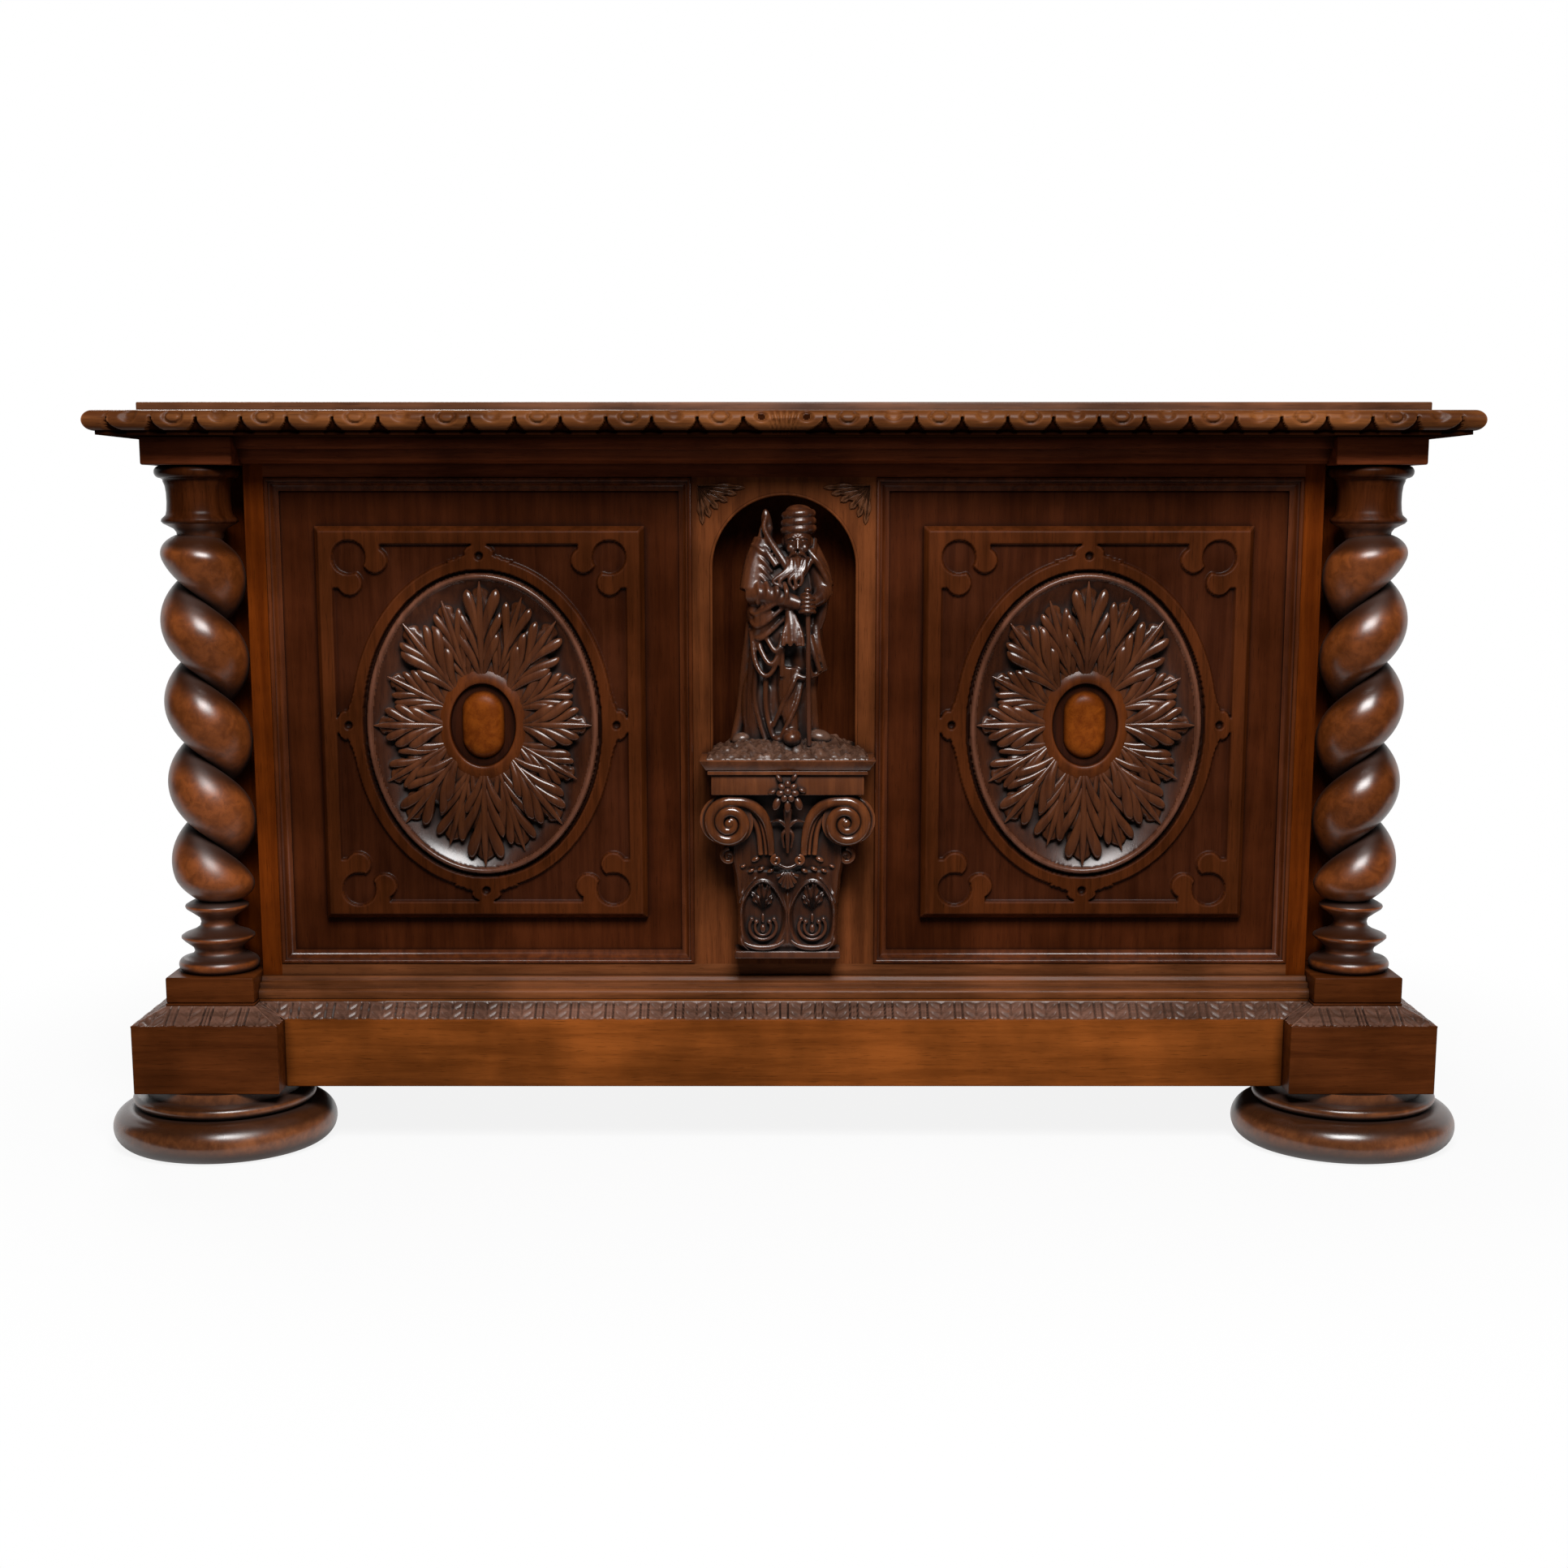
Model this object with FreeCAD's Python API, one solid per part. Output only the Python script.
"""A joined and carved oak chest with a lift-up lid.

Millimetres, +Z up, the front faces -Y. The origin is on the floor, under the middle of the chest.
Twist-turned columns stand in notched front corners, on plinth blocks and turned feet.
"""
import FreeCAD
import Part
import math
import os

Vector = FreeCAD.Vector

# Driving dimensions: the whole chest.
lid_length = 1500.0
lid_overhang = 47.0
carcase_depth = 540.0

# Feet, turned.
foot_radius = 127.5
foot_height = 74.0
foot_bun_height = 46.0
foot_groove_radius = 94.0
foot_groove_height = 3.0
foot_bead_radius = 104.0
foot_bead_height = 12.0
foot_neck_radius = 88.0
foot_spigot_radius = 22.0
foot_spigot_length = 38.0

# Plinth: corner blocks, and rails set back between them.
plinth_block_size = 165.0
plinth_face_height = 79.0
plinth_slope_height = 16.0
plinth_lip_height = 3.0
block_slope_run = 32.0
rail_setback = 35.5
rail_slope_run = 22.0
plinth_rail_thickness = 60.0
plinth_back_rail_thickness = 30.0
plinth_tenon_length = 25.0
plinth_tenon_height = 40.0
plinth_tenon_thickness = 20.0
cap_projection = 26.0
cap_height = 23.0

# Corner columns and the square blocks above and below them.
abacus_size = 100.0
abacus_height = 31.0
base_block_height = 30.0
column_height = 572.0
column_pin_radius = 15.0
column_pin_length = 18.0
twist_radius = 48.0
twist_valley_radius = 22.0
twist_pitch = 91.0
twist_first_ridge = 131.0
twist_sections_per_turn = 8
twist_points_per_section = 16
twist_core_radius = 20.0
twist_seat = 4.0
twist_end_radius = 23.0
twist_end_taper = 34.0
base_ring_radius = 47.0
base_ring_height = 26.0
upper_ring_radius = 42.5
upper_ring_height = 22.0
ring_valley_radius = 28.0
astragal_radius = 44.0
astragal_height = 16.0
astragal_peak = 9.5
capital_radius = 49.5
capital_height = 48.0
bell_radius = 39.5
bell_hollow = 2.0
capital_torus_height = 12.0

# Framing.
frame_thickness = 40.0
post_face_width = 22.0
post_depth = 100.0
back_post_size = 60.0
top_rail_height = 43.5
bottom_rail_height = 36.0
deep_rail_height = 60.0
tenon_length = 16.0
tenon_thickness = 12.0
tenon_shoulder = 10.0
muntin_width = 206.0
muntin_tenon_inset = 30.0

# Panels and what is applied to them.
panel_recess = 12.0
panel_thickness = 14.0
panel_tongue = 8.0
moulding_width = 15.0
moulding_proud = 2.0
moulding_bead_width = 5.0
moulding_bead_drop = 3.5
moulding_edge = 3.5
tablet_side_field = 39.0
tablet_end_field = 38.75
tablet_thickness = 16.0
tablet_bevel = 6.0
dish_side_margin = 41.0
dish_end_margin = 40.0
dish_wall_run = 14.0
dish_depth = 11.0
dish_bead_width = 8.0
dish_bead_height = 3.0
leaf_count = 16
leaf_width = 27.0
leaf_thickness = 6.0
leaf_root_inset = 6.0
leaf_tip_gap = 6.0
collar_thickness = 7.0
boss_width = 48.0
boss_height = 76.0
boss_projection = 15.0
boss_round = 7.0
round_limit = 0.9

# The collar's share of the dish floor, across and up.
collar_width_share = 44 / 116
collar_height_share = 57 / 155

# Niche, console and figure.
niche_radius = 82.0
niche_head_gap = 18.5
niche_straight = 208.0
niche_hollow_depth = 40.0
niche_block_depth = 55.0
niche_block_margin = 18.0
shelf_half_width = 98.0
shelf_projection = 80.0
shelf_edge_height = 7.0
shelf_neck_height = 8.0
shelf_neck_inset = 8.0
console_offset = 4.0
console_half_width = 63.0
console_foot_half_width = 58.0
console_top_projection = 64.0
console_waist_projection = 44.0
console_foot_projection = 34.0
console_plate_half_width = 60.0
console_plate_projection = 40.0
console_plate_height = 9.0
console_foot_gap = 14.0
volute_radius = 29.0
volute_spacing = 130.0
volute_drop = 72.0
volute_projection = 70.0
figure_offset = 4.0
figure_setback = 12.0
ground_half_width = 74.0
ground_half_depth = 46.0
ground_height = 16.0
ground_slope = 12.0
figure_height = 258.0
figure_half_width = 48.0
figure_half_depth = 30.0
head_half_width = 15.0
head_half_depth = 17.0
head_half_height = 20.0
head_lean = 8.0
cap_brim_radius = 20.0
cap_brim_height = 7.0
cap_crown_radius = 16.0
cap_crown_height = 9.0
cap_depth = 8.0
beard_length = 56.0
beard_half_width = 13.5
beard_half_depth = 12.0
beard_forward = 13.5
hands_half_width = 19.0
hands_half_depth = 13.5
hands_half_height = 12.0
cane_radius = 3.0
cane_length = 146.0
cane_side = 20.0

# The robe's outline: share of the height to the shoulders, of the half width and of the half depth.
robe_levels = [(-0.03, 1.12, 1.1), (0.25, 1.0, 1.05), (0.55, 0.96, 1.0), (0.8, 0.98, 0.95),
               (0.95, 0.82, 0.8), (1.1, 0.4, 0.55)]

# Cornice and lid.
cornice_projection = 30.0
cornice_fascia_height = 13.0
cornice_step_projection = 15.0
cornice_height = 29.0
lid_thickness = 36.0
nosing_width = 46.0
nosing_height = 26.0
nosing_fillet_height = 4.0
lid_tongue_width = 8.0
lid_tongue_thickness = 8.0
batten_width = 70.0
batten_thickness = 22.0
batten_spacing = 760.0
batten_front_gap = 62.0
batten_back_gap = 75.0

# Floor.
bearer_width = 25.0
bearer_height = 18.0
floor_thickness = 16.0
floor_board_count = 6

# Hinges.
hinge_count = 3
hinge_inset = 113.0
leaf_plate_width = 76.0
leaf_plate_height = 30.0
leaf_plate_thickness = 3.0
knuckle_radius = 5.5
hinge_pin_radius = 2.5
hinge_pin_end = 1.5
screw_radius = 2.0
screw_head_radius = 4.2
screw_length = 22.0
screw_spacing = 48.0
screw_slot_width = 0.9
screw_slot_depth = 1.0

# Clearances.
joint_clearance = 0.1
board_clearance = 1.0
panel_play = 0.5
hinge_running_clearance = 0.05
knuckle_side_gap = 0.4
knuckle_wall_gap = 0.4

# Places worked out from the sizes above.
corner_x = lid_length / 2 - lid_overhang - abacus_size / 2
half_block = plinth_block_size / 2
front_y = -(carcase_depth - half_block) / 2
back_y = front_y + carcase_depth
back_foot_y = back_y - half_block
lid_front_y = front_y - abacus_size / 2 - lid_overhang
notch = abacus_size / 2
post_inner_x = corner_x - notch - post_face_width
back_post_inner_x = corner_x - back_post_size
muntin_x = muntin_width / 2

plinth_bottom = foot_height
plinth_slope_bottom = plinth_bottom + plinth_face_height
plinth_slope_top = plinth_slope_bottom + plinth_slope_height
plinth_top = plinth_slope_top + plinth_lip_height
column_bottom = plinth_top + base_block_height
column_top = column_bottom + column_height
carcase_top = column_top + abacus_height
lid_top = carcase_top + lid_thickness

bottom_rail_top = plinth_top + bottom_rail_height
top_rail_bottom = carcase_top - top_rail_height
deep_rail_top = plinth_top + deep_rail_height
back_rail_bottom = carcase_top - deep_rail_height
panel_face_y = front_y + panel_recess
tablet_face_y = panel_face_y - tablet_thickness
dish_floor_y = tablet_face_y + dish_depth
panel_centre_x = (muntin_x + post_inner_x) / 2
panel_centre_z = (bottom_rail_top + top_rail_bottom) / 2
hinge_y = back_y + knuckle_radius + knuckle_wall_gap
hinge_spacing = 2 * (back_post_inner_x - hinge_inset) / (hinge_count - 1)
niche_springing = top_rail_bottom - niche_head_gap - niche_radius
shelf_top = niche_springing - niche_straight

# The tablet fills its panel but for a plain field, and the dish and its collar follow the tablet.
tablet_rim = moulding_width + tablet_bevel
tablet_width = post_inner_x - muntin_x - 2 * (tablet_rim + tablet_side_field)
tablet_height = top_rail_bottom - bottom_rail_top - 2 * (tablet_rim + tablet_end_field)
dish_half_width = tablet_width / 2 - dish_side_margin - dish_bead_width
dish_half_height = tablet_height / 2 - dish_end_margin - dish_bead_width
collar_half_width = (dish_half_width - dish_wall_run) * collar_width_share
collar_half_height = (dish_half_height - dish_wall_run) * collar_height_share

nodes = {}


def box(x0, x1, y0, y1, z0, z1):
    """A square-edged block between two corners."""
    return Part.makeBox(x1 - x0, y1 - y0, z1 - z0, Vector(x0, y0, z0))


def grown(low, high, room):
    """The block from low to high, larger by room on every side."""
    x0, y0, z0 = low
    x1, y1, z1 = high
    return box(x0 - room, x1 + room, y0 - room, y1 + room, z0 - room, z1 + room)


def wire(start, steps):
    """A closed outline of lines and arcs. A step is a point, or a pair: a point on an arc and its end."""
    edges = []
    here = Vector(*start)
    for step in steps:
        if isinstance(step, list):
            end = Vector(*step[1])
            edges.append(Part.Arc(here, Vector(*step[0]), end).toShape())
        else:
            end = Vector(*step)
            edges.append(Part.LineSegment(here, end).toShape())
        here = end
    if here != Vector(*start):
        edges.append(Part.LineSegment(here, Vector(*start)).toShape())
    return Part.Wire(edges)


def prism(points, direction):
    """A straight-sided solid on the polygon, pushed along the direction."""
    closed = Part.makePolygon([Vector(*p) for p in points] + [Vector(*points[0])])
    return Part.Face(closed).extrude(Vector(*direction))


def turned(start, steps, x, y):
    """A piece turned about an upright axis, from an outline of (radius, height) points."""
    def lathe(point):
        return (point[0], 0, point[1])
    path = [[lathe(s[0]), lathe(s[1])] if isinstance(s, list) else lathe(s) for s in steps]
    face = Part.Face(wire(lathe(start), path))
    solid = face.revolve(Vector(0, 0, 0), Vector(0, 0, 1), 360)
    return solid.translated(Vector(x, y, 0))


def mirrored(shape):
    """The same piece on the other side of the chest."""
    return shape.mirror(Vector(0, 0, 0), Vector(1, 0, 0))


def pair(name, shape):
    """A right-hand piece and its mirror image on the left."""
    nodes[name + "_right"] = shape
    nodes[name + "_left"] = mirrored(shape)


def group(shapes):
    """Separate solids that share one node."""
    return Part.makeCompound(shapes)


def ellipse(half_width, half_height, x, y, z):
    """An upright or lying ellipse on a level plane, as a closed wire."""
    across = Vector(half_width, 0, 0)
    along = Vector(0, half_height, 0)
    if half_width >= half_height:
        curve = Part.Ellipse(across, along, Vector(0, 0, 0))
    else:
        curve = Part.Ellipse(along, across, Vector(0, 0, 0))
    return Part.Wire([curve.toShape().translated(Vector(x, y, z))])


def oval_disc(half_width, half_height, z0, z1):
    """A flat oval of even thickness, lying on the bench."""
    return Part.Face(ellipse(half_width, half_height, 0, 0, z0)).extrude(Vector(0, 0, z1 - z0))


def to_front(shape, x, y, z):
    """Stand a piece made lying on the bench upright, facing the front."""
    standing = shape.rotated(Vector(0, 0, 0), Vector(1, 0, 0), 90)
    return standing.translated(Vector(x, y, z))


def egg(half_width, half_depth, half_height, x, y, z):
    """A rounded oval solid."""
    stretch = FreeCAD.Matrix()
    stretch.scale(half_width, half_depth, half_height)
    return Part.makeSphere(1.0).transformGeometry(stretch).translated(Vector(x, y, z))


# Feet.
def foot(x, y):
    """A fat turned ring, a groove, a bead and a neck, with a spigot for the block above."""
    ring_core = foot_radius - foot_bun_height / 2
    bead_core = foot_bead_radius - foot_bead_height / 2
    bead_bottom = foot_bun_height + foot_groove_height
    bead_top = bead_bottom + foot_bead_height
    steps = [
        (ring_core, 0),
        [(foot_radius, foot_bun_height / 2), (ring_core, foot_bun_height)],
        (foot_groove_radius, foot_bun_height),
        (foot_groove_radius, bead_bottom),
        (bead_core, bead_bottom),
        [(foot_bead_radius, bead_bottom + foot_bead_height / 2), (bead_core, bead_top)],
        (foot_neck_radius, bead_top),
        (foot_neck_radius, foot_height),
        (foot_spigot_radius, foot_height),
        (foot_spigot_radius, foot_height + foot_spigot_length),
        (0, foot_height + foot_spigot_length),
    ]
    return turned((0, 0), steps, x, y)


pair("foot_front", foot(corner_x, front_y))
pair("foot_back", foot(corner_x, back_foot_y))


# Plinth.
def square_ring(half, x, y, z):
    """A square outline on a level plane."""
    corners = [(-half, -half), (half, -half), (half, half), (-half, half), (-half, -half)]
    return Part.makePolygon([Vector(x + dx, y + dy, z) for dx, dy in corners])


def plinth_tenon_low(along_y, x, y):
    """Lowest corner of a plinth rail's tenon, from the middle of its root."""
    half = plinth_tenon_thickness / 2
    z = plinth_bottom + (plinth_face_height - plinth_tenon_height) / 2
    return (x - half, y, z) if along_y else (x, y - half, z)


def plinth_tenon(along_y, x, y, room):
    """A plinth rail's tenon, or with room its mortise."""
    low = plinth_tenon_low(along_y, x, y)
    run_x = plinth_tenon_thickness if along_y else plinth_tenon_length
    run_y = plinth_tenon_length if along_y else plinth_tenon_thickness
    high = (low[0] + run_x, low[1] + run_y, low[2] + plinth_tenon_height)
    return grown(low, high, room)


rail_face_y = front_y - half_block + rail_setback
rail_face_x = corner_x + half_block - rail_setback
block_inner_x = corner_x - half_block
front_tenon_y = rail_face_y + plinth_rail_thickness / 2
side_tenon_x = rail_face_x - plinth_rail_thickness / 2
back_tenon_y = back_y - plinth_back_rail_thickness / 2
side_rail_front = front_y + half_block
side_rail_back = back_foot_y - half_block
front_rail_tenon = (False, block_inner_x, front_tenon_y)
back_rail_tenon = (False, block_inner_x, back_tenon_y)
side_tenon_front = (True, side_tenon_x, side_rail_front - plinth_tenon_length)
side_tenon_back = (True, side_tenon_x, side_rail_back)


def plinth_block(y, tenons):
    """A square block with a sloping top edge outside the carcase, and sockets for its foot and rails."""
    lip = half_block - block_slope_run
    body = box(corner_x - half_block, corner_x + half_block, y - half_block, y + half_block,
               plinth_bottom, plinth_slope_bottom)
    low_ring = square_ring(half_block, corner_x, y, plinth_slope_bottom)
    high_ring = square_ring(lip, corner_x, y, plinth_slope_top)
    slope = Part.makeLoft([low_ring, high_ring], True, True)
    top = box(corner_x - lip, corner_x + lip, y - lip, y + lip, plinth_slope_top, plinth_top)
    seat_y = max(front_y, y - half_block)
    seat = box(corner_x - half_block, corner_x, seat_y, y + half_block, plinth_slope_bottom, plinth_top)
    block = body.fuse([slope, top, seat]).removeSplitter()
    socket = Part.makeCylinder(foot_spigot_radius + joint_clearance, foot_spigot_length + joint_clearance,
                               Vector(corner_x, y, plinth_bottom))
    return block.cut([socket] + [plinth_tenon(*t, joint_clearance) for t in tenons])


pair("plinth_block_front", plinth_block(front_y, [front_rail_tenon, side_tenon_front]))
pair("plinth_block_back", plinth_block(back_foot_y, [back_rail_tenon, side_tenon_back]))


# A plinth rail's section: distance in from its face, and height.
rail_section = [(0, plinth_bottom), (plinth_rail_thickness, plinth_bottom),
                (plinth_rail_thickness, plinth_top), (rail_slope_run, plinth_top),
                (rail_slope_run, plinth_slope_top), (0, plinth_slope_bottom)]


front_section = [(-block_inner_x, rail_face_y + inward, z) for inward, z in rail_section]
front_bar = prism(front_section, (2 * block_inner_x, 0, 0))
front_end = plinth_tenon(*front_rail_tenon, 0)
nodes["plinth_rail_front"] = front_bar.fuse([front_end, mirrored(front_end)])

back_bar = box(-block_inner_x, block_inner_x, back_y - plinth_back_rail_thickness, back_y,
               plinth_bottom, plinth_top)
back_end = plinth_tenon(*back_rail_tenon, 0)
nodes["plinth_rail_back"] = back_bar.fuse([back_end, mirrored(back_end)])

side_section = [(rail_face_x - inward, side_rail_front, z) for inward, z in rail_section]
side_bar = prism(side_section, (0, side_rail_back - side_rail_front, 0))
pair("plinth_rail", side_bar.fuse([plinth_tenon(*side_tenon_front, 0), plinth_tenon(*side_tenon_back, 0)]))


def cap_section():
    """The plinth cap's stepped section: projection from the carcase, and height."""
    tread = cap_projection / 3
    riser = cap_height / 4
    return [(0, plinth_top), (cap_projection, plinth_top), (cap_projection, plinth_top + riser),
            (2 * tread, plinth_top + 2 * riser), (2 * tread, plinth_top + 3 * riser),
            (tread, plinth_top + 3 * riser), (tread, plinth_top + cap_height), (0, plinth_top + cap_height)]


notch_x = corner_x - notch
notch_y = front_y + notch


def trim(section):
    """A moulding along the front between the columns, and along both sides behind them."""
    front = prism([(-notch_x, front_y - d, z) for d, z in section], (2 * notch_x, 0, 0))
    side = prism([(corner_x + d, notch_y, z) for d, z in section], (0, back_y - notch_y, 0))
    return group([front, side, mirrored(side)])


nodes["plinth_cap"] = trim(cap_section())


# Columns, between their base blocks and abaci.
def column_socket(z):
    """A round socket for the column's pin."""
    return Part.makeCylinder(column_pin_radius + joint_clearance, column_pin_length + joint_clearance,
                             Vector(corner_x, front_y, z))


def column_block(z0, z1, socket):
    """A square block filling the corner notch."""
    block = box(corner_x - notch, corner_x + notch, front_y - notch, front_y + notch, z0, z1)
    return block.cut(socket)


lower_socket = column_socket(column_bottom - column_pin_length - joint_clearance)
pair("column_base", column_block(plinth_top, column_bottom, lower_socket))
pair("abacus", column_block(column_top, carcase_top, column_socket(column_top)))

twist_bottom = column_bottom + base_ring_height + upper_ring_height
twist_top = column_top - capital_height - astragal_height
shaft_bottom = twist_bottom - twist_seat
shaft_top = twist_top + twist_seat


def ridge_radius(phase):
    """Radius round one turn of the twist: a full round ridge that meets itself in a sharp valley."""
    half_chord = twist_pitch / 2
    rise = twist_radius - twist_valley_radius
    sweep = (half_chord ** 2 + rise ** 2) / (2 * rise)
    return twist_radius - sweep + math.sqrt(sweep ** 2 - (twist_pitch * (phase - 0.5)) ** 2)


def end_rise(z):
    """How much of the ridge stands out near the two ends, where it rounds in to the necks."""
    inside = min(z - shaft_bottom, shaft_top - z, twist_end_taper)
    return math.sqrt(1 - (1 - inside / twist_end_taper) ** 2)


def twist_section(z):
    """The twist's section at one height, turned with the pitch."""
    first_ridge_z = column_bottom + twist_first_ridge
    turn = 2 * math.pi * (z - first_ridge_z) / twist_pitch - math.pi
    points = []
    for k in range(twist_points_per_section + 1):
        phase = k / twist_points_per_section
        radius = twist_core_radius + (ridge_radius(phase) - twist_core_radius) * end_rise(z)
        angle = turn + 2 * math.pi * phase
        points.append(Vector(corner_x + radius * math.cos(angle), front_y + radius * math.sin(angle), z))
    curve = Part.BSplineCurve()
    curve.interpolate(points)
    return Part.Wire([curve.toShape()])


def twist_column():
    """Ring base, twisted shaft and moulded capital, with a pin at each end."""
    ring_top = column_bottom + base_ring_height
    base_steps = [
        (column_pin_radius, column_bottom - column_pin_length),
        (column_pin_radius, column_bottom),
        (base_ring_radius - base_ring_height / 4, column_bottom),
        [(base_ring_radius, column_bottom + base_ring_height / 4),
         (base_ring_radius - base_ring_height / 4, column_bottom + base_ring_height / 2)],
        (ring_valley_radius, ring_top),
        [(upper_ring_radius, ring_top + upper_ring_height / 2), (twist_end_radius, twist_bottom)],
        (0, twist_bottom),
    ]
    base = turned((0, column_bottom - column_pin_length), base_steps, corner_x, front_y)
    astragal_top = twist_top + astragal_height
    torus_bottom = column_top - capital_torus_height
    torus_inner = capital_radius - capital_torus_height / 2
    bell_middle = (bell_radius + torus_inner) / 2 - bell_hollow
    capital_steps = [
        (twist_end_radius, twist_top),
        [(astragal_radius, twist_top + astragal_peak), (bell_radius, astragal_top)],
        [(bell_middle, (astragal_top + torus_bottom) / 2), (torus_inner, torus_bottom)],
        [(capital_radius, column_top - capital_torus_height / 2), (torus_inner, column_top)],
        (column_pin_radius, column_top),
        (column_pin_radius, column_top + column_pin_length),
        (0, column_top + column_pin_length),
    ]
    capital = turned((0, twist_top), capital_steps, corner_x, front_y)
    count = round((shaft_top - shaft_bottom) / twist_pitch * twist_sections_per_turn)
    heights = [shaft_bottom + (shaft_top - shaft_bottom) * k / count for k in range(count + 1)]
    shaft = Part.makeLoft([twist_section(z) for z in heights], True, False)
    return base.fuse([shaft, capital])


pair("twist_column", twist_column())


# Framing: tenons are boxes that both the rail and its mortise are made from.
def rail_tenon(axis, root, x, y, z0, z1, sign):
    """Corners of a tenon on a rail end. The root is where the shoulder is, the sign is the way it points."""
    half = tenon_thickness / 2
    tip = root + sign * tenon_length
    start = min(root, tip)
    end = max(root, tip)
    if axis == "x":
        return (start, y - half, z0 + tenon_shoulder), (end, y + half, z1 - tenon_shoulder)
    return (x - half, start, z0 + tenon_shoulder), (x + half, end, z1 - tenon_shoulder)


front_mid_y = front_y + frame_thickness / 2
back_mid_y = back_y - frame_thickness / 2
side_mid_x = corner_x - frame_thickness / 2
side_front_y = front_y + post_depth
side_back_y = back_y - back_post_size

tenon_top_front = rail_tenon("x", post_inner_x, 0, front_mid_y, top_rail_bottom, carcase_top, 1)
tenon_bottom_front = rail_tenon("x", post_inner_x, 0, front_mid_y, plinth_top, bottom_rail_top, 1)
tenon_top_back = rail_tenon("x", back_post_inner_x, 0, back_mid_y, back_rail_bottom, carcase_top, 1)
tenon_bottom_back = rail_tenon("x", back_post_inner_x, 0, back_mid_y, plinth_top, deep_rail_top, 1)
tenon_top_side_front = rail_tenon("y", side_front_y, side_mid_x, 0, top_rail_bottom, carcase_top, -1)
tenon_bottom_side_front = rail_tenon("y", side_front_y, side_mid_x, 0, plinth_top, deep_rail_top, -1)
tenon_top_side_back = rail_tenon("y", side_back_y, side_mid_x, 0, top_rail_bottom, carcase_top, 1)
tenon_bottom_side_back = rail_tenon("y", side_back_y, side_mid_x, 0, plinth_top, deep_rail_top, 1)

front_panel_low = (muntin_x - panel_tongue, panel_face_y, bottom_rail_top - panel_tongue)
front_panel_high = (post_inner_x + panel_tongue, panel_face_y + panel_thickness,
                    top_rail_bottom + panel_tongue)
side_panel_low = (corner_x - panel_recess - panel_thickness, side_front_y - panel_tongue,
                  deep_rail_top - panel_tongue)
side_panel_high = (corner_x - panel_recess, side_back_y + panel_tongue, top_rail_bottom + panel_tongue)
back_panel_low = (-back_post_inner_x - panel_tongue, back_y - panel_recess - panel_thickness,
                  deep_rail_top - panel_tongue)
back_panel_high = (back_post_inner_x + panel_tongue, back_y - panel_recess, back_rail_bottom + panel_tongue)


def groove(low, high):
    """The room a panel's tongue takes in the framing round it."""
    return grown(low, high, joint_clearance)


def board(low, high):
    """A panel, a little short of the bottom of its grooves."""
    x0, y0, z0 = low
    x1, y1, z1 = high
    thin = min(x1 - x0, y1 - y0)
    play_x = 0 if x1 - x0 == thin else panel_play
    play_y = 0 if y1 - y0 == thin else panel_play
    return box(x0 + play_x, x1 - play_x, y0 + play_y, y1 - play_y, z0 + panel_play, z1 - panel_play)


def mortises(tenons):
    """Mortises for these tenons."""
    return [grown(low, high, joint_clearance) for low, high in tenons]


def front_post():
    """An angle-shaped corner post, notched round the column."""
    corner_y = front_y + post_depth
    plan = [(post_inner_x, front_y), (notch_x, front_y), (notch_x, notch_y), (corner_x, notch_y),
            (corner_x, corner_y), (post_inner_x, corner_y)]
    post = prism([(x, y, plinth_top) for x, y in plan], (0, 0, carcase_top - plinth_top))
    cuts = mortises([tenon_top_front, tenon_bottom_front, tenon_top_side_front, tenon_bottom_side_front])
    cuts.append(groove(front_panel_low, front_panel_high))
    cuts.append(groove(side_panel_low, side_panel_high))
    return post.cut(cuts)


def back_post():
    """A square corner post."""
    post = box(back_post_inner_x, corner_x, side_back_y, back_y, plinth_top, carcase_top)
    cuts = mortises([tenon_top_back, tenon_bottom_back, tenon_top_side_back, tenon_bottom_side_back])
    cuts.append(groove(back_panel_low, back_panel_high))
    cuts.append(groove(side_panel_low, side_panel_high))
    return post.cut(cuts)


pair("post_front", front_post())
pair("post_back", back_post())


def muntin_tenon(root, sign):
    """The wide tenon that joins the muntin to a rail."""
    half = tenon_thickness / 2
    reach = muntin_x - muntin_tenon_inset
    tip = root + sign * tenon_length
    return (-reach, front_mid_y - half, min(root, tip)), (reach, front_mid_y + half, max(root, tip))


muntin_tenon_top = muntin_tenon(top_rail_bottom, 1)
muntin_tenon_bottom = muntin_tenon(bottom_rail_top, -1)
front_groove = groove(front_panel_low, front_panel_high)


def screw_places(z):
    """Where a row of hinge screws stands, two to a leaf."""
    first = -hinge_spacing * (hinge_count - 1) / 2
    centres = [first + hinge_spacing * k for k in range(hinge_count)]
    return [Vector(x + side * screw_spacing / 2, back_y, z) for x in centres for side in (-1, 1)]


leaf_margin = (knuckle_radius + leaf_plate_height) / 2
lid_screw_z = carcase_top + leaf_margin
carcase_screw_z = carcase_top - leaf_margin


def pilot_holes(z):
    """Holes in the wood for a row of hinge screws."""
    depth = screw_length - leaf_plate_thickness + joint_clearance
    holes = []
    for place in screw_places(z):
        holes.append(Part.makeCylinder(screw_radius + joint_clearance, depth, place, Vector(0, -1, 0)))
    return holes


def tenoned(bar, tenons):
    """A rail with its tenons."""
    return bar.fuse([grown(low, high, 0) for low, high in tenons])


def front_rail(z0, z1, tenon, muntin_mortise):
    """A front rail, tenoned to both posts, with a mortise for the muntin and grooves for the panels."""
    bar = box(-post_inner_x, post_inner_x, front_y, front_y + frame_thickness, z0, z1)
    right = grown(*tenon, 0)
    rail = bar.fuse([right, mirrored(right)])
    return rail.cut(mortises([muntin_mortise]) + [front_groove, mirrored(front_groove)])


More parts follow.
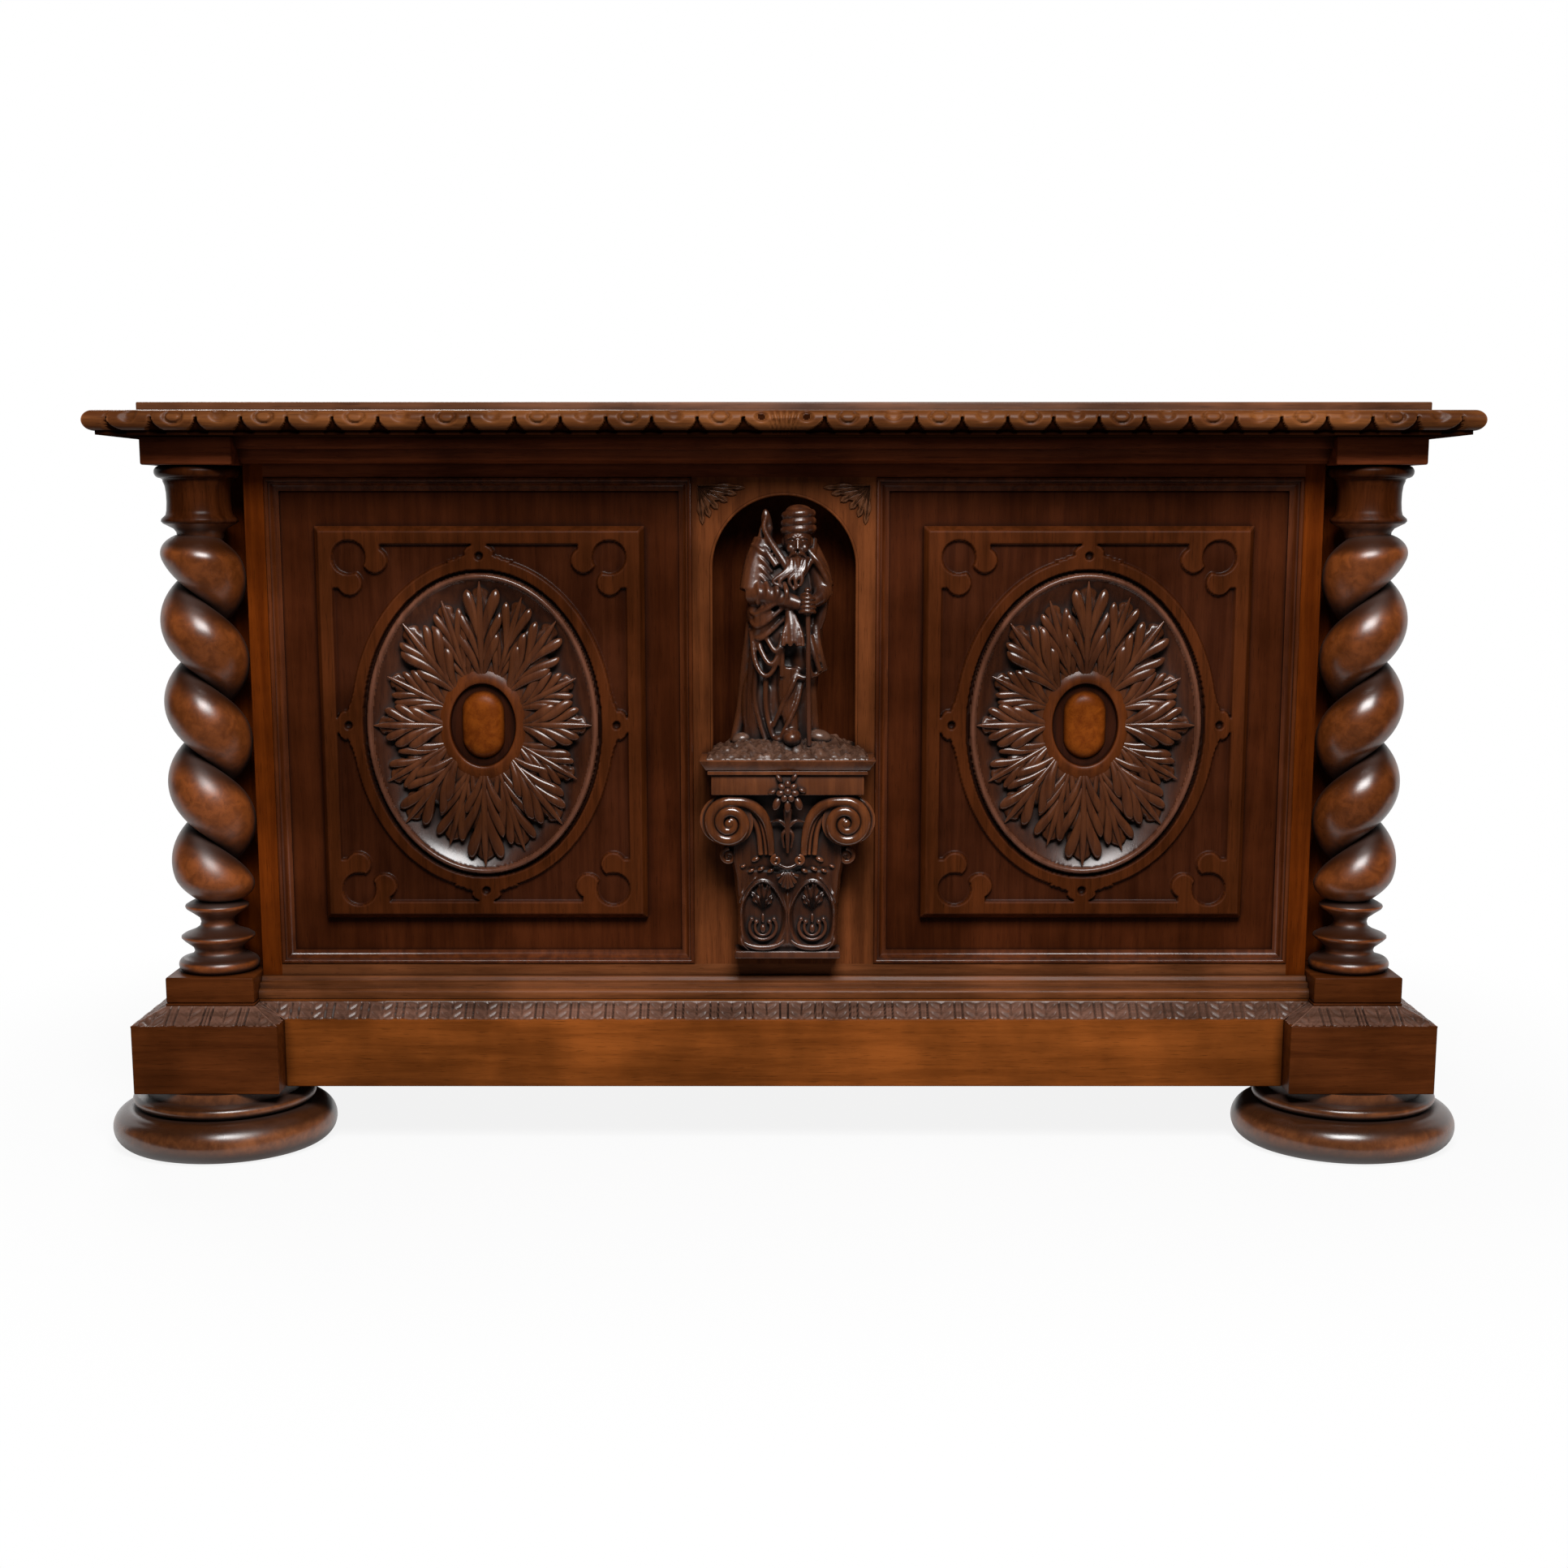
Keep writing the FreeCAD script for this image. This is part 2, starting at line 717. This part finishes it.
nodes["rail_top_front"] = front_rail(top_rail_bottom, carcase_top, tenon_top_front, muntin_tenon_top)
nodes["rail_bottom_front"] = front_rail(plinth_top, bottom_rail_top, tenon_bottom_front, muntin_tenon_bottom)


def back_rail(z0, z1, tenon):
    """A back rail, tenoned to both posts and grooved for the back panel."""
    bar = box(-back_post_inner_x, back_post_inner_x, back_y - frame_thickness, back_y, z0, z1)
    right = grown(*tenon, 0)
    rail = bar.fuse([right, mirrored(right)])
    return rail.cut(groove(back_panel_low, back_panel_high))


hinge_rail = back_rail(back_rail_bottom, carcase_top, tenon_top_back)
nodes["rail_top_back"] = hinge_rail.cut(pilot_holes(carcase_screw_z))
nodes["rail_bottom_back"] = back_rail(plinth_top, deep_rail_top, tenon_bottom_back)


def side_rail(z0, z1, tenons):
    """A side rail, tenoned between the posts and grooved for the side panel."""
    bar = box(corner_x - frame_thickness, corner_x, side_front_y, side_back_y, z0, z1)
    return tenoned(bar, tenons).cut(groove(side_panel_low, side_panel_high))


pair("rail_top", side_rail(top_rail_bottom, carcase_top, [tenon_top_side_front, tenon_top_side_back]))
pair("rail_bottom", side_rail(plinth_top, deep_rail_top, [tenon_bottom_side_front, tenon_bottom_side_back]))

pair("front_panel", board(front_panel_low, front_panel_high))
pair("side_panel", board(side_panel_low, side_panel_high))
nodes["back_panel"] = board(back_panel_low, back_panel_high)


# Niche: an arched opening through the muntin, and a hollowed block behind it.
def arch_opening():
    """The arched way through the muntin."""
    shaft = box(-niche_radius, niche_radius, front_y, front_y + frame_thickness, shelf_top, niche_springing)
    springing = Vector(0, front_y, niche_springing)
    head = Part.makeCylinder(niche_radius, frame_thickness, springing, Vector(0, 1, 0))
    return shaft.fuse(head)


def muntin():
    """The wide upright between the panels."""
    bar = box(-muntin_x, muntin_x, front_y, front_y + frame_thickness, bottom_rail_top, top_rail_bottom)
    upright = tenoned(bar, [muntin_tenon_top, muntin_tenon_bottom])
    return upright.cut([arch_opening(), front_groove, mirrored(front_groove)])


def niche_block():
    """A block behind the muntin, hollowed to a round-headed niche."""
    face = front_y + frame_thickness
    half = niche_radius + niche_block_margin
    block = box(-half, half, face, face + niche_block_depth, shelf_top - niche_block_margin,
                niche_springing + half)
    sweep = (niche_radius ** 2 + niche_hollow_depth ** 2) / (2 * niche_hollow_depth)
    centre_y = face + niche_hollow_depth - sweep
    shaft = Part.makeCylinder(sweep, niche_springing - shelf_top, Vector(0, centre_y, shelf_top))
    head = Part.makeSphere(sweep, Vector(0, centre_y, niche_springing))
    under = box(-sweep, sweep, centre_y - sweep, centre_y + sweep, niche_springing - sweep, niche_springing)
    return block.cut([shaft, head.cut(under)])


nodes["front_muntin"] = muntin()
nodes["niche_block"] = niche_block()


# Panel mouldings: four mitred strips round each panel.
def panel_moulding():
    """Strips that hide the panel's edge: a bead at the frame, falling in steps to the panel."""
    height = panel_recess + moulding_proud
    section = [(0, 0), (0, height), (moulding_bead_width, height),
               (moulding_bead_width, height - moulding_bead_drop), (moulding_width, moulding_edge),
               (moulding_width, 0)]
    corners = [(muntin_x, bottom_rail_top, 1, 1), (post_inner_x, bottom_rail_top, -1, 1),
               (post_inner_x, top_rail_bottom, -1, -1), (muntin_x, top_rail_bottom, 1, -1)]
    ends = []
    for x, z, step_x, step_z in corners:
        points = [Vector(x + step_x * w, panel_face_y - h, z + step_z * w) for w, h in section]
        ends.append(Part.makePolygon(points + [points[0]]))
    return group([Part.makeLoft([ends[k], ends[(k + 1) % 4]], True, True) for k in range(4)])


pair("panel_moulding", panel_moulding())


# Tablets and rosettes, made lying on the bench and stood up to face the front.
def rectangle(half_width, half_height, z):
    """A level rectangle about the middle of the bench."""
    corners = [(-1, -1), (1, -1), (1, 1), (-1, 1), (-1, -1)]
    return Part.makePolygon([Vector(half_width * a, half_height * b, z) for a, b in corners])


def tablet():
    """A bevelled tablet with an oval dish in it and a bead round the dish."""
    half_w = tablet_width / 2
    half_h = tablet_height / 2
    edge = tablet_thickness / 2
    foot_half_w = half_w + tablet_bevel
    foot_half_h = half_h + tablet_bevel
    base = box(-foot_half_w, foot_half_w, -foot_half_h, foot_half_h, 0, edge)
    outer = rectangle(foot_half_w, foot_half_h, edge)
    bevel = Part.makeLoft([outer, rectangle(half_w, half_h, tablet_thickness)], True, True)
    rim = oval_disc(dish_half_width + dish_bead_width, dish_half_height + dish_bead_width,
                    tablet_thickness, tablet_thickness + dish_bead_height)
    floor = tablet_thickness - dish_depth
    bottom = ellipse(dish_half_width - dish_wall_run, dish_half_height - dish_wall_run, 0, 0, floor)
    top = ellipse(dish_half_width, dish_half_height, 0, 0, tablet_thickness)
    dish = Part.makeLoft([bottom, top], True, True)
    mouth = oval_disc(dish_half_width, dish_half_height, tablet_thickness, tablet_thickness + dish_bead_height)
    return base.fuse([bevel, rim]).removeSplitter().cut([dish, mouth])


def leaf(angle):
    """One pointed leaf of the rosette, between the collar and the dish wall."""
    inner = Vector((collar_half_width - leaf_root_inset) * math.cos(angle),
                   (collar_half_height - leaf_root_inset) * math.sin(angle), 0)
    outer = Vector((dish_half_width - dish_wall_run - leaf_tip_gap) * math.cos(angle),
                   (dish_half_height - dish_wall_run - leaf_tip_gap) * math.sin(angle), 0)
    middle = (inner + outer) / 2
    along = outer - inner
    along.normalize()
    side = Vector(-along.y, along.x, 0) * (leaf_width / 2)
    edges = [Part.Arc(inner, middle + side, outer).toShape(), Part.Arc(outer, middle - side, inner).toShape()]
    return Part.Face(Part.Wire(edges)).extrude(Vector(0, 0, leaf_thickness))


def rosette():
    """Leaves round an oval collar, with a domed boss standing out of it."""
    leaves = [leaf(2 * math.pi * k / leaf_count) for k in range(leaf_count)]
    collar = oval_disc(collar_half_width, collar_half_height, 0, collar_thickness)
    radius = boss_width / 2
    reach = boss_height / 2 - radius
    outline = wire((radius, -reach, 0), [(radius, reach, 0), [(0, reach + radius, 0), (-radius, reach, 0)],
                                         (-radius, -reach, 0), [(0, -reach - radius, 0), (radius, -reach, 0)]])
    boss = Part.Face(outline).extrude(Vector(0, 0, boss_projection))
    top_edges = [e for e in boss.Edges if e.BoundBox.ZMin > boss_projection / 2]
    boss = boss.makeFillet(min(boss_round, boss_projection * round_limit, radius * round_limit), top_edges)
    return collar.fuse(leaves).fuse(boss)


pair("tablet", to_front(tablet(), panel_centre_x, panel_face_y, panel_centre_z))
pair("rosette", to_front(rosette(), panel_centre_x, dish_floor_y, panel_centre_z))


# Console and shelf.
shelf_bottom = shelf_top - shelf_edge_height - shelf_neck_height
console_bottom = bottom_rail_top + console_foot_gap


def console_shelf():
    """A shelf with a stepped edge."""
    upper = box(console_offset - shelf_half_width, console_offset + shelf_half_width,
                front_y - shelf_projection, front_y, shelf_top - shelf_edge_height, shelf_top)
    reach = shelf_half_width - shelf_neck_inset
    lower = box(console_offset - reach, console_offset + reach, front_y - shelf_projection + shelf_neck_inset,
                front_y, shelf_bottom, shelf_top - shelf_edge_height)
    return upper.fuse(lower).removeSplitter()


def console():
    """A tapering bracket with a volute at each side of its head, on a thin plate."""
    plate_top = console_bottom + console_plate_height
    waist = shelf_bottom - volute_drop - volute_radius
    levels = [(plate_top, console_foot_half_width, console_foot_projection),
              (waist, console_half_width, console_waist_projection),
              (shelf_bottom, console_half_width, console_top_projection)]
    rings = []
    for z, half, out in levels:
        corners = [(-half, 0), (half, 0), (half, -out), (-half, -out), (-half, 0)]
        rings.append(Part.makePolygon([Vector(console_offset + x, front_y + y, z) for x, y in corners]))
    body = Part.makeLoft(rings, True, True)
    plate = box(console_offset - console_plate_half_width, console_offset + console_plate_half_width,
                front_y - console_plate_projection, front_y, console_bottom, plate_top)
    rolls = []
    for side in (-1, 1):
        centre = Vector(console_offset + side * volute_spacing / 2, front_y, shelf_top - volute_drop)
        rolls.append(Part.makeCylinder(volute_radius, volute_projection, centre, Vector(0, -1, 0)))
    return body.fuse([plate] + rolls)


nodes["console_shelf"] = console_shelf()
nodes["console"] = console()


# Figure: one carving, on a low mound.
def figure():
    """A standing robed figure with a cap and a long beard, leaning on a cane."""
    x = console_offset + figure_offset
    y = front_y - figure_setback
    ground_top = shelf_top + ground_height
    ground = ellipse(ground_half_width, ground_half_depth, console_offset, y, shelf_top)
    crest = ellipse(ground_half_width - ground_slope, ground_half_depth - ground_slope, console_offset, y,
                    ground_top)
    mound = Part.makeLoft([ground, crest], True, True)
    brim_z = ground_top + figure_height - cap_crown_height - cap_brim_height
    head_z = brim_z - head_half_height + cap_depth
    shoulder = head_z - head_half_height - ground_top
    rings = [ellipse(figure_half_width * wide, figure_half_depth * deep, x, y, ground_top + shoulder * high)
             for high, wide, deep in robe_levels]
    robe = Part.makeLoft(rings, True, False)
    head_x = x + head_lean
    head_y = y - head_lean
    head = egg(head_half_width, head_half_depth, head_half_height, head_x, head_y, head_z)
    brim = Part.makeCylinder(cap_brim_radius, cap_brim_height, Vector(head_x, head_y, brim_z))
    crown = egg(cap_crown_radius, cap_crown_radius, cap_crown_height, head_x, head_y, brim_z + cap_brim_height)
    beard = egg(beard_half_width, beard_half_depth, beard_length / 2, head_x, head_y - beard_forward,
                head_z - beard_length / 2)
    cane_y = y - figure_half_depth - cane_radius
    cane = Part.makeCylinder(cane_radius, cane_length, Vector(x + cane_side, cane_y, ground_top - cane_radius))
    hands = egg(hands_half_width, hands_half_depth, hands_half_height, x + cane_side / 2, cane_y + cane_radius,
                ground_top + cane_length)
    return mound.fuse([robe, head, brim, crown, beard, cane, hands])


nodes["figure"] = figure()


# Floor: boards from front to back on bearers fixed inside the rails.
floor_front = front_y + frame_thickness
floor_back = back_y - frame_thickness
floor_top = plinth_top + bearer_height + floor_thickness
floor_half = post_inner_x - board_clearance
side_floor_front = side_front_y + board_clearance
side_floor_back = side_back_y - board_clearance


def floor_bearers():
    """Four bearers, one inside each bottom rail."""
    z1 = plinth_top + bearer_height
    front = box(-floor_half, floor_half, floor_front, floor_front + bearer_width, plinth_top, z1)
    back = box(-floor_half, floor_half, floor_back - bearer_width, floor_back, plinth_top, z1)
    inner = corner_x - frame_thickness
    side = box(inner - bearer_width, inner, side_floor_front, side_floor_back, plinth_top, z1)
    return group([front, back, side, mirrored(side)])


def floor_boards():
    """Boards side by side between the posts, and a narrow one along each side."""
    z0 = plinth_top + bearer_height
    width = 2 * floor_half / floor_board_count
    y0 = floor_front + board_clearance
    y1 = floor_back - board_clearance
    boards = []
    for k in range(floor_board_count):
        x0 = -floor_half + k * width
        boards.append(box(x0, x0 + width, y0, y1, z0, floor_top))
    side = box(floor_half, corner_x - frame_thickness - board_clearance, side_floor_front, side_floor_back,
               z0, floor_top)
    return group(boards + [side, mirrored(side)])


nodes["floor_bearers"] = floor_bearers()
nodes["floor_boards"] = floor_boards()


# Cornice under the lid.
cornice_bottom = carcase_top - cornice_height
fascia_bottom = carcase_top - cornice_fascia_height
nodes["cornice_moulding"] = trim([
    (0, cornice_bottom), (cornice_step_projection, cornice_bottom), (cornice_step_projection, fascia_bottom),
    (cornice_projection, fascia_bottom), (cornice_projection, carcase_top), (0, carcase_top)])


# Lid: a board with a tongue round three edges, in grooved nosings mitred at the front corners.
board_x = lid_length / 2 - nosing_width
board_front = lid_front_y + nosing_width
tongue_bottom = carcase_top + (nosing_height - lid_tongue_thickness) / 2


def lid_tongue(room):
    """The tongue that runs round the lid board, or with room its groove."""
    return box(-board_x - lid_tongue_width - room, board_x + lid_tongue_width + room,
               board_front - lid_tongue_width - room, back_y + room,
               tongue_bottom - room, tongue_bottom + lid_tongue_thickness + room)


def nosing_outline(place):
    """The nosing's section: a fillet below and a full round edge. Place turns (in, up) into a point."""
    round_top = carcase_top + nosing_height
    round_bottom = carcase_top + nosing_fillet_height
    radius = (round_top - round_bottom) / 2
    steps = [place(radius, carcase_top), place(radius, round_bottom),
             [place(0, round_bottom + radius), place(radius, round_top)], place(nosing_width, round_top)]
    return Part.Face(wire(place(nosing_width, carcase_top), steps))


def lid_nosings():
    """Front nosing and right-hand end nosing."""
    half = lid_length / 2
    front_face = nosing_outline(lambda inward, z: (-half, lid_front_y + inward, z))
    front_bar = front_face.extrude(Vector(lid_length, 0, 0))
    end_face = nosing_outline(lambda inward, z: (half - inward, lid_front_y, z))
    end_bar = end_face.extrude(Vector(0, back_y - lid_front_y, 0))
    rise = (0, 0, nosing_height)
    front_plan = [(-half, lid_front_y), (half, lid_front_y), (board_x, board_front), (-board_x, board_front)]
    end_plan = [(half, lid_front_y), (half, back_y), (board_x, back_y), (board_x, board_front)]
    front = front_bar.common(prism([(x, y, carcase_top) for x, y in front_plan], rise))
    end = end_bar.common(prism([(x, y, carcase_top) for x, y in end_plan], rise))
    room = lid_tongue(joint_clearance)
    return front.cut(room), end.cut(room)


front_nosing, end_nosing = lid_nosings()
nodes["lid_nosing_front"] = front_nosing
pair("lid_nosing", end_nosing)
slab = box(-board_x, board_x, board_front, back_y, carcase_top, lid_top)
nodes["lid_board"] = slab.fuse(lid_tongue(0)).cut(pilot_holes(lid_screw_z))

batten = box(batten_spacing / 2 - batten_width / 2, batten_spacing / 2 + batten_width / 2,
             front_y + frame_thickness + batten_front_gap, back_y - batten_back_gap,
             carcase_top - batten_thickness, carcase_top)
nodes["lid_battens"] = group([batten, mirrored(batten)])


# Hinges: flat leaves on the back, with the knuckle level with the lid's underside.
knuckle_length = leaf_plate_width / 3
first_hinge = -hinge_spacing * (hinge_count - 1) / 2
hinge_places = [first_hinge + hinge_spacing * k for k in range(hinge_count)]


def knuckle(x0, x1, side):
    """A length of knuckle with its strap to the leaf: upwards for the lid, downwards for the carcase."""
    barrel = Part.makeCylinder(knuckle_radius, x1 - x0, Vector(x0, hinge_y, carcase_top), Vector(1, 0, 0))
    reach = side * (knuckle_radius + knuckle_side_gap)
    strap = box(x0, x1, back_y, back_y + leaf_plate_thickness,
                carcase_top + min(0, reach), carcase_top + max(0, reach))
    return barrel.fuse(strap)


def screw(place, room):
    """A countersunk wood screw driven from behind, or with room its hole in the leaf."""
    face = place.y + leaf_plate_thickness
    start = Vector(place.x, face, place.z)
    inward = Vector(0, -1, 0)
    head_depth = leaf_plate_thickness - joint_clearance
    head = Part.makeCone(screw_head_radius + room, screw_radius + room, head_depth, start, inward)
    shank = Part.makeCylinder(screw_radius + room, screw_length, start, inward)
    return head.fuse(shank)


def hinge_leaf(x, side, screw_z):
    """One leaf: a plate, its knuckles, the pin's bore and the countersunk holes."""
    half = leaf_plate_width / 2
    near = carcase_top + side * (knuckle_radius + knuckle_side_gap)
    far = carcase_top + side * leaf_plate_height
    plate = box(x - half, x + half, back_y, back_y + leaf_plate_thickness, min(near, far), max(near, far))
    if side > 0:
        spans = [(x - knuckle_length / 2 + knuckle_side_gap, x + knuckle_length / 2 - knuckle_side_gap)]
    else:
        spans = [(x - half, x - knuckle_length / 2), (x + knuckle_length / 2, x + half)]
    leaf_solid = plate.fuse([knuckle(x0, x1, side) for x0, x1 in spans]).removeSplitter()
    bore = Part.makeCylinder(hinge_pin_radius + hinge_running_clearance, leaf_plate_width,
                             Vector(x - half, hinge_y, carcase_top), Vector(1, 0, 0))
    holes = [screw(p, joint_clearance) for p in screw_places(screw_z) if abs(p.x - x) < half]
    return leaf_solid.cut([bore] + holes)


def hinge_pin(x):
    """The pin, a little longer than the knuckles."""
    length = leaf_plate_width + 2 * hinge_pin_end
    start = Vector(x - length / 2, hinge_y, carcase_top)
    return Part.makeCylinder(hinge_pin_radius, length, start, Vector(1, 0, 0))


def screws(z):
    """A row of screws with slotted heads."""
    made = []
    for place in screw_places(z):
        face = place.y + leaf_plate_thickness
        slot = box(place.x - screw_head_radius, place.x + screw_head_radius, face - screw_slot_depth, face,
                   place.z - screw_slot_width / 2, place.z + screw_slot_width / 2)
        made.append(screw(place, 0).cut(slot))
    return group(made)


nodes["hinge_leaves_carcase"] = group([hinge_leaf(x, -1, carcase_screw_z) for x in hinge_places])
nodes["hinge_leaves_lid"] = group([hinge_leaf(x, 1, lid_screw_z) for x in hinge_places])
nodes["hinge_pins"] = group([hinge_pin(x) for x in hinge_places])
nodes["hinge_screws_carcase"] = screws(carcase_screw_z)
nodes["hinge_screws_lid"] = screws(lid_screw_z)

os.makedirs("parts", exist_ok=True)
for name, shape in nodes.items():
    shape.exportStep("parts/" + name + ".step")
    print(name, len(shape.Solids), shape.isValid(), round(shape.Volume))
